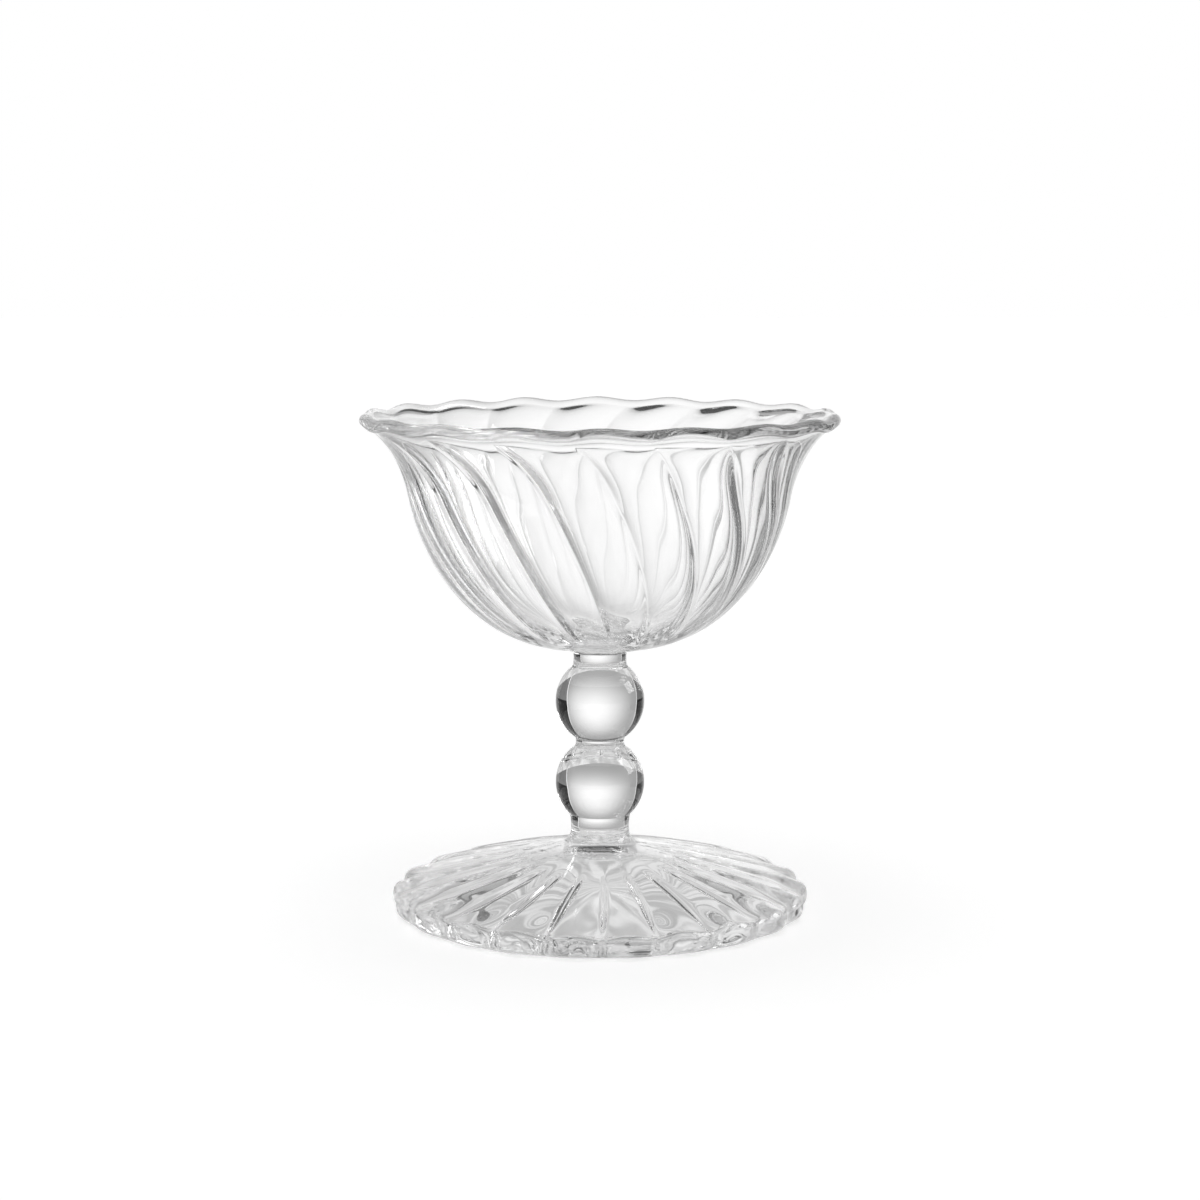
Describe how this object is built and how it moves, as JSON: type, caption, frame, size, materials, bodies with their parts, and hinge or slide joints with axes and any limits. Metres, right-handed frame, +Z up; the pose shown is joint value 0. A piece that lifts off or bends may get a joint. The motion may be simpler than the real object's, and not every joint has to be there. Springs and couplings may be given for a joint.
{
  "type": "footed ice cream bowl",
  "caption": "Clear glass ice cream bowl with twisted flutes and a scalloped lip, on a stem of glass balls and a wide creased foot.",
  "frame": {"origin": "centre of the flat ring that the foot rests on", "axes": "+Z up the stem, the axis that every piece is turned about; -Y faces the viewer and +X is to the viewer's right"},
  "size_m": [0.1064, 0.107, 0.1125],
  "materials": {
    "clear_glass": "fire-polished clear glass"
  },
  "bodies": {
    "root": {"foot": "clear_glass", "lower_collar": "clear_glass", "lower_knop": "clear_glass", "middle_collar": "clear_glass", "upper_knop": "clear_glass", "upper_collar": "clear_glass", "bowl": "clear_glass"}
  },
  "joints": []
}
